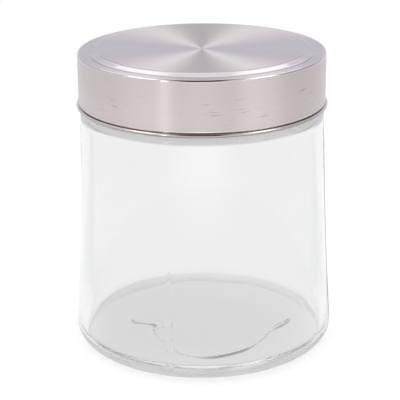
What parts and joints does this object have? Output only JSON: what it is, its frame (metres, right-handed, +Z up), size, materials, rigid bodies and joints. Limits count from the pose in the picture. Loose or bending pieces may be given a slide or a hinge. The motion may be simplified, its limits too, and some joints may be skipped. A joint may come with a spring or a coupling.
{
  "type": "glass jar",
  "caption": "Clear glass storage jar with a gently flared body, thick base and wide threaded mouth, closed by a brushed steel screw lid with a rolled bead, a plastic liner and a seal ring.",
  "frame": {"origin": "on the jar's axis, in the plane of the ring that it stands on", "axes": "+Z up along the jar's axis through the lid, -Y towards the viewer of the picture, +X to the viewer's right"},
  "size_m": [0.1138, 0.1138, 0.1307],
  "materials": {
    "clear_glass": "smooth, clear, faintly green where it is thick",
    "brushed_steel": "satin, brushed round the axis",
    "white_plastic": "moulded, smooth matte",
    "clear_silicone": "milky, matte"
  },
  "bodies": {
    "jar": {"jar_body": "clear_glass"},
    "seal": {"lid_seal": "clear_silicone"},
    "lid": {"lid_shell": "brushed_steel", "lid_insert": "white_plastic"}
  },
  "joints": [
    {"name": "lid_lift", "type": "slide", "parent": "jar", "child": "seal", "axis": [0, 0, 1], "range_m": [0, 0.027]},
    {"name": "lid_turn", "type": "hinge", "parent": "seal", "child": "lid", "pos_m": [0, 0, 0.1255], "axis": [0, 0, 1], "range_deg": [0, 1620]}
  ],
  "couplings": [
    {"joint": "lid_lift", "follows": "lid_turn", "m_per_rad": 0.00095493}
  ]
}
